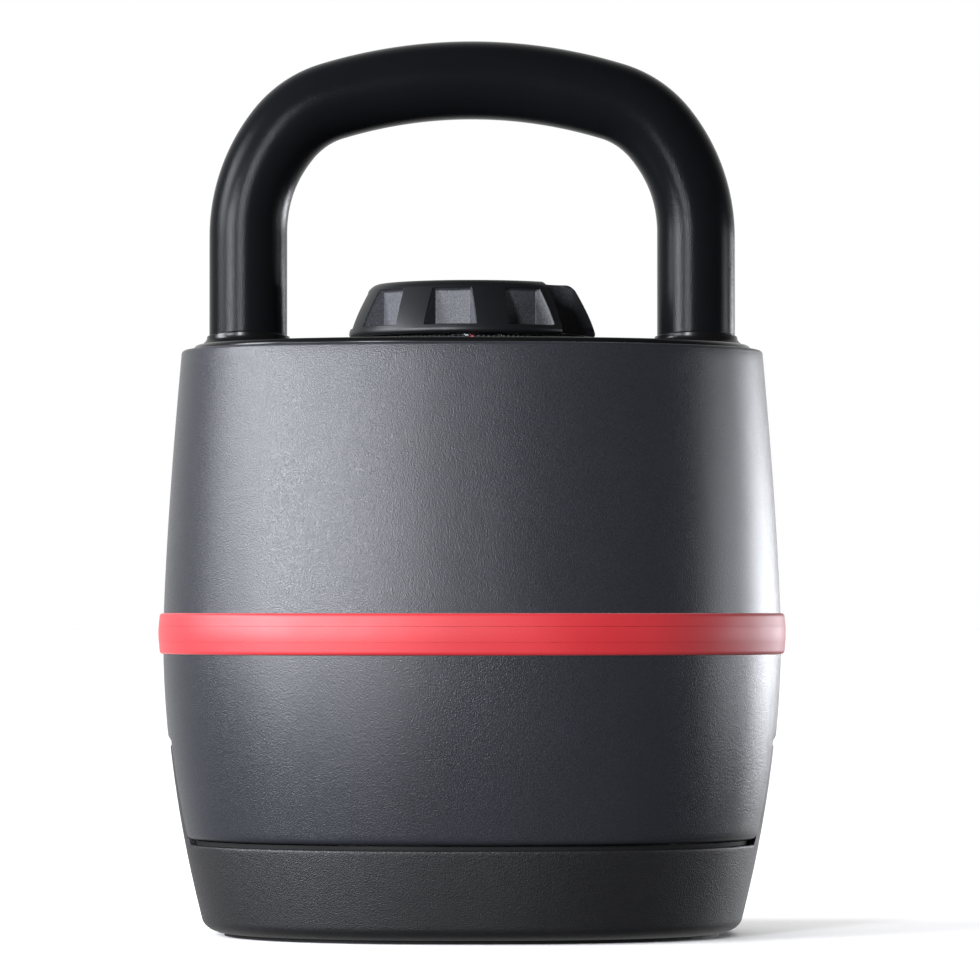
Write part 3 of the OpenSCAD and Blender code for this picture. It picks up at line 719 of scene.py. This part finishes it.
def dial_field(turn, z, fillet):
    """Radius of the dial's skin at each angle and height, and how deep inside a pocket it is.

    The skin is the lesser of the outer profile and each pocket. A pocket is the greatest of a flat
    back wall, two side walls that open outwards, a floor and a ceiling, each given as a radius. A
    side wall at half + lean (v - back) from the middle meets the angle a at the radius
    (lean back - half) / (lean cos a - sin a). The notch has radial flanks and a concave back.
    """
    outer = dial_profile(z) + 0 * turn
    skin, depth = outer, 0 * outer
    for i in range(9):
        off = (turn - FIRST_POCKET - i * POCKET_STEP + math.pi) % TURN - math.pi
        near = np.abs(off) < math.radians(19.6 if i != NOTCH else 24)
        off = np.where(near, off, 0.1)
        if i == NOTCH:
            back = NOTCH_BACK
            from_flank = np.where(off > 0, NOTCH_RIGHT - off, NOTCH_LEFT + off)
            bend = np.clip(1 - from_flank / math.radians(10.5), 0, 1)
            walls = back / np.cos(off) + 5 * MM * (1 - np.sqrt(1 - bend ** 2))
            walls = walls + ease(0.5 - from_flank / math.radians(0.5)) * 20 * MM
            pocket = soft_max(walls, back + (DIAL_Z + 1.4 * MM - z) * 14 + 0 * walls, fillet)
        else:
            back, half, lean = POCKET_BACK, POCKET_HALF, np.where(off > 0, 0.5, 0.34)
            off = np.abs(off)
            side = (lean * back - half) / np.clip(lean * np.cos(off) - np.sin(off), 0.02, None)
            walls = soft_max(back / np.cos(off), side, 0.5 * fillet)
            floor = back + (DIAL_Z + 3.5 * MM - z) * 20 + 0 * walls
            ceiling = back + (z - DIAL_TOP + 3.4 * MM) * 4
            pocket = soft_max(walls, soft_max(floor, ceiling, fillet), 2.2 * fillet)
        pocket = np.where(near, pocket, 1.0)
        skin = soft_min(skin, pocket, fillet)
        depth = np.maximum(depth, ease((outer - pocket) / (1.2 * MM)) * near)
    return skin, depth


class KETTLEBELL_OT_dial(bpy.types.Operator):
    """Make the selector dial with its grip pockets, its cap and its numbers

    The skin is the least of the convex cone and the pockets' radii at each angle and height.
    """
    bl_idname = "kettlebell.dial"
    bl_label = "Dial"

    def execute(self, context):
        s, c = sizes(), colours()
        turn = dial_turns()[None]
        tall = DIAL_TOP - DIAL_Z
        up = np.concatenate([np.linspace(0, 0.1, 9), np.linspace(0.112, 0.24, 16), np.linspace(0.27, 0.7, 14),
                             np.linspace(0.72, 0.87, 16),
                             np.sin(np.linspace(0.1, 1, 9) * math.pi / 2) * 0.13 + 0.87])
        z = (DIAL_Z + tall * up)[:, None]
        radius, depth = dial_field(turn, z, s.pocket_fillet)
        cap_r = 27 * MM
        top = radius[-1]
        inner = np.minimum(cap_r, top)
        share = np.linspace(0, 1, 5)[1:, None]
        deck = top * (1 - share) + np.minimum(inner, cap_r) * share
        sunk = DIAL_TOP - 2 * MM
        under = DIAL_Z + 1 * MM
        radius = np.vstack([0 * top + SHAFT_HOLE, 0 * top + 36 * MM, 0 * top + 37 * MM, radius, deck,
                            deck[-1:] - 0.05 * MM, 0 * deck[-1:] + 6 * MM])
        z = np.concatenate([[under, under, DIAL_Z], z[:, 0], np.full(4, DIAL_TOP), [sunk, sunk]])
        made = surface("dial_skin", revolved(radius, z, turn[0]), "selector", "dial_knob",
                       caps=(True, True))
        mask = made.data.attributes.new("pocket", "FLOAT", "POINT")
        values = np.zeros((len(z), turn.size))
        values[3:3 + len(up)] = depth
        mask.data.foreach_set("value", np.concatenate([values.ravel(), [0, 0]]).astype(np.float32))
        coat(made, material("satin_glass_filled_nylon", satin_dial_plastic, c.dial))
        self.cap_and_numbers(c)
        return {"FINISHED"}

    def cap_and_numbers(self, c):
        """A shallow domed cap with a rounded edge, and raised printed numbers round it."""
        foot, r = foot_of("dial_cap"), reach_of("dial_cap") - 0.4 * MM
        tall = top_of("dial_cap") - foot
        turn = turns(160)
        in_r = np.concatenate([np.linspace(0.03, 0.9, 9),
                               np.sin(np.linspace(0.15, 1, 7) * math.pi / 2) * 0.1 + 0.9])
        in_r = in_r[::-1] * r
        z = foot + tall - 0.5 * MM * (in_r / r) ** 2 - 0.5 * MM * ((in_r / r - 0.9).clip(0) / 0.1) ** 3
        made = surface("dial_cap_skin", revolved(np.concatenate([[r, r], in_r]),
                                                 np.concatenate([[foot, foot + 0.5 * MM], z]), turn),
                       "selector", "dial_cap", caps=(True, True))
        coat(made, material("satin_cap_abs", eroded_plastic, srgb("#2a2b2e"), 0.4, 0.7, 0.03))
        ink = material("pad_printed_ink", printed_ink, c.ink)
        for i, number in enumerate(("8", "12", "20", "25", "35", "40")):
            angle = -(i - 2) * math.radians(40)
            coat(number_mesh("number_" + number, number, angle, 19.5 * MM, 6.5 * MM, top_of("dial_cap")), ink)


def number_mesh(name, text, angle, radius, tall, z):
    """A thin solid number lying flat at a radius, its foot towards the front when its setting is chosen."""
    curve = bpy.data.curves.new(name, "FONT")
    curve.body = text
    curve.size = tall * 1.35
    curve.align_x = "CENTER"
    curve.align_y = "CENTER"
    curve.extrude = 0.12 * MM
    made = bpy.data.objects.new(name, curve)
    bpy.context.scene.collection.objects.link(made)
    dg = bpy.context.evaluated_depsgraph_get()
    mesh = bpy.data.meshes.new_from_object(made.evaluated_get(dg))
    bpy.data.objects.remove(made)
    co = np.empty(len(mesh.vertices) * 3)
    mesh.vertices.foreach_get("co", co)
    co = co.reshape(-1, 3)
    x, y = co[:, 0], co[:, 1] - radius
    place = np.stack([x * math.cos(angle) - y * math.sin(angle), x * math.sin(angle) + y * math.cos(angle),
                      co[:, 2] + z - 0.25 * MM], -1)
    mesh.vertices.foreach_set("co", place.ravel())
    mesh.update()
    done = bpy.data.objects.new(name, mesh)
    bpy.context.scene.collection.objects.link(done)
    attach(done, "selector")
    return done


class KETTLEBELL_OT_index_ring(bpy.types.Operator):
    """Make the fine-toothed ring under the dial and its index mark

    A profile turned about the axis, its radius less by a cosine of the angle times the number of teeth.
    The mark is a rounded tab pushed through it at the front.
    """
    bl_idname = "kettlebell.index_ring"
    bl_label = "Index ring"

    def execute(self, context):
        teeth, per_tooth = 144, 8
        turn = turns(teeth * per_tooth)
        low, high = foot_of("index_ring"), top_of("index_ring")
        r = reach_of("index_ring")
        tooth = 0.5 + 0.5 * np.cos((turn - FRONT) * teeth + math.pi)
        gap = np.abs((turn - FRONT + math.pi) % TURN - math.pi) < TURN / teeth * 0.75
        cut = sizes().tooth_depth * np.where(gap, 1, 1 - tooth)
        root = high - 1.3 * MM + 0 * turn
        radius = np.stack([r - 3 * MM + 0 * turn, r + 0 * turn, r + 0 * turn, r - cut, r - 0.25 * MM - cut,
                           r - 2.4 * MM - 0 * cut, r - 3 * MM + 0 * turn])
        z = np.stack([low + 0 * turn, low + 0 * turn, root - 0.1 * MM, root, high - cut * 0.6,
                      high - cut * 0.2, high - 0.2 * MM + 0 * turn])
        made = surface("index_ring_skin", revolved(radius, z, turn), "kettlebell", "index_ring",
                       joined=True)
        coat(made, material("polished_acetal", gloss_plastic, srgb("#1b1c1e"), 0.2))
        tall = high - low - 0.2 * MM
        mark = rounded([(-0.5 * MM, 0, 0), (-0.5 * MM, tall, 0.3 * MM), (0.5 * MM, tall, 0.3 * MM),
                        (0.5 * MM, 0, 0)], 4)
        across = np.array([0.0, 2.0 * MM])[:, None]
        face = np.stack(np.broadcast_arrays(mark[:, 0], -r - 0.05 * MM + across,
                                            low + mark[:, 1] + 0 * across), -1)
        made = surface("index_mark", face, "kettlebell", None, caps=(True, True))
        coat(made, material("satin_elastomer", satin_elastomer, colours().band))
        return {"FINISHED"}


class KETTLEBELL_OT_plates(bpy.types.Operator):
    """Make the five weight plates, each a bevelled copy of its CAD node"""
    bl_idname = "kettlebell.plates"
    bl_label = "Weight plates"

    def execute(self, context):
        paint = material("hammer_painted_steel", painted_casting, srgb("#35373a"))
        for k, body in PLATE_BODIES.items():
            node = f"weight_plate_{k}"
            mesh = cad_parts[node].data.copy()
            whole = bmesh.new()
            whole.from_mesh(mesh)
            bmesh.ops.remove_doubles(whole, verts=whole.verts, dist=0.001 * MM)
            whole.to_mesh(mesh)
            whole.free()
            made = bpy.data.objects.new(node + "_cast", mesh)
            bpy.context.scene.collection.objects.link(made)
            bevel = made.modifiers.new("bevel", "BEVEL")
            bevel.width = sizes().plate_bevel
            bevel.segments = 2
            bevel.limit_method = "ANGLE"
            bevel.angle_limit = math.radians(50)
            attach(made, body)
            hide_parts(node)
            coat(made, paint)
        return {"FINISHED"}


class KETTLEBELL_OT_mechanism(bpy.types.Operator):
    """Make the lock spring and finish the metal and nylon parts inside

    The spring is a helix of six turns whose climb is 0.6 of the share and 0.4 of its eased value, so
    that the end coils lie closer.
    """
    bl_idname = "kettlebell.mechanism"
    bl_label = "Mechanism"

    def execute(self, context):
        low, high = foot_of("lock_spring"), top_of("lock_spring")
        wire = 0.5 * MM
        coil_r = reach_of("lock_spring") - wire
        t = np.linspace(0, 1, 260)[:, None]
        climb = low + wire + (high - low - 2 * wire) * ease(t) * 0.4 + (high - low - 2 * wire) * t * 0.6
        angle = TURN * 6 * t
        around = turns(10)
        r = coil_r + wire * np.cos(around)
        points = np.stack([r * np.cos(angle), r * np.sin(angle), climb + wire * np.sin(around)], -1)
        spring = material("spring_steel", brushed_steel, srgb("#b6b8bc"), 0.25)
        coat(surface("lock_spring_coil", points[:, ::-1], "selector", "lock_spring",
                     caps=(True, True)), spring)
        finish_nodes(spring, "detent_spring", "shaft_clip")
        finish_nodes(material("turned_steel", brushed_steel, srgb("#c3c5c8"), 0.28), "selector_shaft",
                     "lock_rod", "lock_pin", "release_post", "chassis_plate")
        finish_nodes(material("black_oxide_steel", brushed_steel, srgb("#4a4b4e"), 0.45), "post_screw",
                     "handle_bolts", "handle_washers", "shell_screws", "cover_screws", "seam_screws",
                     "cup_screws", "dial_screw")
        finish_nodes(material("turned_brass", brushed_steel, srgb("#d9b266"), 0.3), "latch_tabs",
                     "shaft_bushing", "thrust_washer")
        finish_nodes(material("moulded_nylon", eroded_plastic, srgb("#3a3b3f"), 0.5, 0.8, 0.05),
                     "lock_cup", "detent_wheel", "stack_guide")
        return {"FINISHED"}


# ---- Stage ----


def facing(round_to, up, lean=0.0):
    """The turn of a lamp at an azimuth from the front and an elevation that looks at the object."""
    turn = Matrix.Rotation(math.radians(round_to), 4, "Z") @ Matrix.Rotation(math.radians(90 - up), 4, "X")
    return turn @ Matrix.Rotation(math.radians(lean), 4, "Z")


def softbox(name, round_to, up, away, size, watts, lean=0.0):
    """A rectangular softbox at an azimuth from the front (degrees, to the right), elevation and distance."""
    data = bpy.data.lights.new(name, "AREA")
    data.shape = "RECTANGLE"
    data.size, data.size_y = size
    data.energy = watts
    data.color = srgb("#f6f8ff")[:3]
    made = bpy.data.objects.new(name, data)
    bpy.context.scene.collection.objects.link(made)
    made.matrix_world = (Matrix.Translation((0, 0, 0.16)) @ facing(round_to, up, lean)
                         @ Matrix.Translation((0, 0, away)))
    return made


def floor_sun(name, round_to, up, strength, spread, floor):
    """A broad sun that lights only the floor: the floor is white and the object keeps its dark studio."""
    data = bpy.data.lights.new(name, "SUN")
    data.energy, data.angle = strength, math.radians(spread)
    made = bpy.data.objects.new(name, data)
    bpy.context.scene.collection.objects.link(made)
    made.matrix_world = facing(round_to, up)
    made.light_linking.receiver_collection = floor
    return made


class KETTLEBELL_OT_stage(bpy.types.Operator):
    """Make the pale floor, the soft studio lights and the camera"""
    bl_idname = "kettlebell.stage"
    bl_label = "Stage"

    def execute(self, context):
        scene = context.scene
        scene.view_settings.view_transform = "Standard"
        world = bpy.data.worlds.new("white_studio")
        world.use_nodes = True
        tree = world.node_tree
        seen = add(tree, "ShaderNodeLightPath").outputs["Is Camera Ray"]
        way = add(tree, "ShaderNodeTexCoord").outputs["Generated"]
        behind = add(tree, "ShaderNodeSeparateXYZ", {0: way}).outputs["Y"]
        glow = add(tree, "ShaderNodeMapRange", {"Value": behind, 1: 0.25, 2: 0.95, 3: 0.07, 4: 0.9})
        strength = add(tree, "ShaderNodeMix", {"Factor": seen, 2: glow.outputs[0], 3: 1.0})
        back = tree.nodes["Background"]
        back.inputs["Color"].default_value = srgb("#ffffff")
        tree.links.new(strength.outputs[0], back.inputs["Strength"])
        scene.world = world
        half = 30.0
        mesh = bpy.data.meshes.new("floor")
        mesh.from_pydata([(-half, -half, 0), (half, -half, 0), (half, half, 0), (-half, half, 0)], [],
                         [(0, 1, 2, 3)])
        floor = bpy.data.objects.new("floor", mesh)
        scene.collection.objects.link(floor)
        pale = bpy.data.materials.new("painted_floor")
        pale.use_nodes = True
        tree = pale.node_tree
        grain = add(tree, "ShaderNodeTexNoise", {"Scale": 40.0})
        tone = add(tree, "ShaderNodeMix", {"Factor": grain.outputs["Fac"], 6: srgb("#fbfbfb"),
                                           7: srgb("#ffffff")}, data_type="RGBA")
        main = tree.nodes["Principled BSDF"]
        tree.links.new(tone.outputs[2], main.inputs["Base Color"])
        main.inputs["Roughness"].default_value = 0.6
        coat(floor, pale)
        floor.visible_diffuse = floor.visible_glossy = False
        softbox("side_left", -84, 18, 1.9, (0.7, 0.9), 38)
        softbox("key_left", -54, 7, 2.2, (0.7, 0.45), 56)
        softbox("strip_front", -24, 9, 2.2, (0.3, 0.9), 44)
        softbox("rim_right", 96, -1, 1.9, (0.6, 0.32), 11)
        softbox("rim_back", 132, -1, 1.9, (0.7, 0.32), 16)
        lit = bpy.data.collections.new("floor_only")
        lit.objects.link(floor)
        floor_sun("floor_left", -72, 38, 2.0, 40, lit)
        floor_sun("floor_above", 0, 90, 2.0, 100, lit)
        lens = bpy.data.cameras.new("camera")
        lens.lens, lens.sensor_width = 206.5, 36
        lens.clip_end = 100
        camera = bpy.data.objects.new("camera", lens)
        scene.collection.objects.link(camera)
        camera.location = (0, -2.0, 0.1144)
        camera.rotation_euler = (math.radians(90 + 1.237), math.radians(0), math.radians(-0.182))
        scene.camera = camera
        return {"FINISHED"}


class KETTLEBELL_PT_panel(bpy.types.Panel):
    """Lists the pieces, in the order they are made, with their sizes and colours"""
    bl_label = "Kettlebell"
    bl_idname = "KETTLEBELL_PT_panel"
    bl_space_type = "VIEW_3D"
    bl_region_type = "UI"
    bl_category = "Kettlebell"

    def draw(self, context):
        for settings in (context.scene.kettlebell_sizes, context.scene.kettlebell_colours):
            for key in settings.bl_rna.properties.keys():
                if key not in ("rna_type", "name"):
                    self.layout.prop(settings, key)
        for operator in OPERATORS:
            self.layout.operator(operator.bl_idname)


OPERATORS = (KETTLEBELL_OT_stage, KETTLEBELL_OT_shells, KETTLEBELL_OT_band, KETTLEBELL_OT_base,
             KETTLEBELL_OT_cover, KETTLEBELL_OT_handle, KETTLEBELL_OT_dial, KETTLEBELL_OT_index_ring,
             KETTLEBELL_OT_plates, KETTLEBELL_OT_mechanism)
CLASSES = (KettlebellSizes, KettlebellColours, *OPERATORS, KETTLEBELL_PT_panel)


def register():
    for each in CLASSES:
        bpy.utils.register_class(each)
    bpy.types.Scene.kettlebell_sizes = bpy.props.PointerProperty(type=KettlebellSizes)
    bpy.types.Scene.kettlebell_colours = bpy.props.PointerProperty(type=KettlebellColours)


def unregister():
    del bpy.types.Scene.kettlebell_colours
    del bpy.types.Scene.kettlebell_sizes
    for each in reversed(CLASSES):
        bpy.utils.unregister_class(each)


def main():
    """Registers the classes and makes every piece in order."""
    register()
    for operator in OPERATORS:
        group, name = operator.bl_idname.split(".")
        getattr(getattr(bpy.ops, group), name)()
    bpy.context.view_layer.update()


if __name__ == "__main__":
    main()
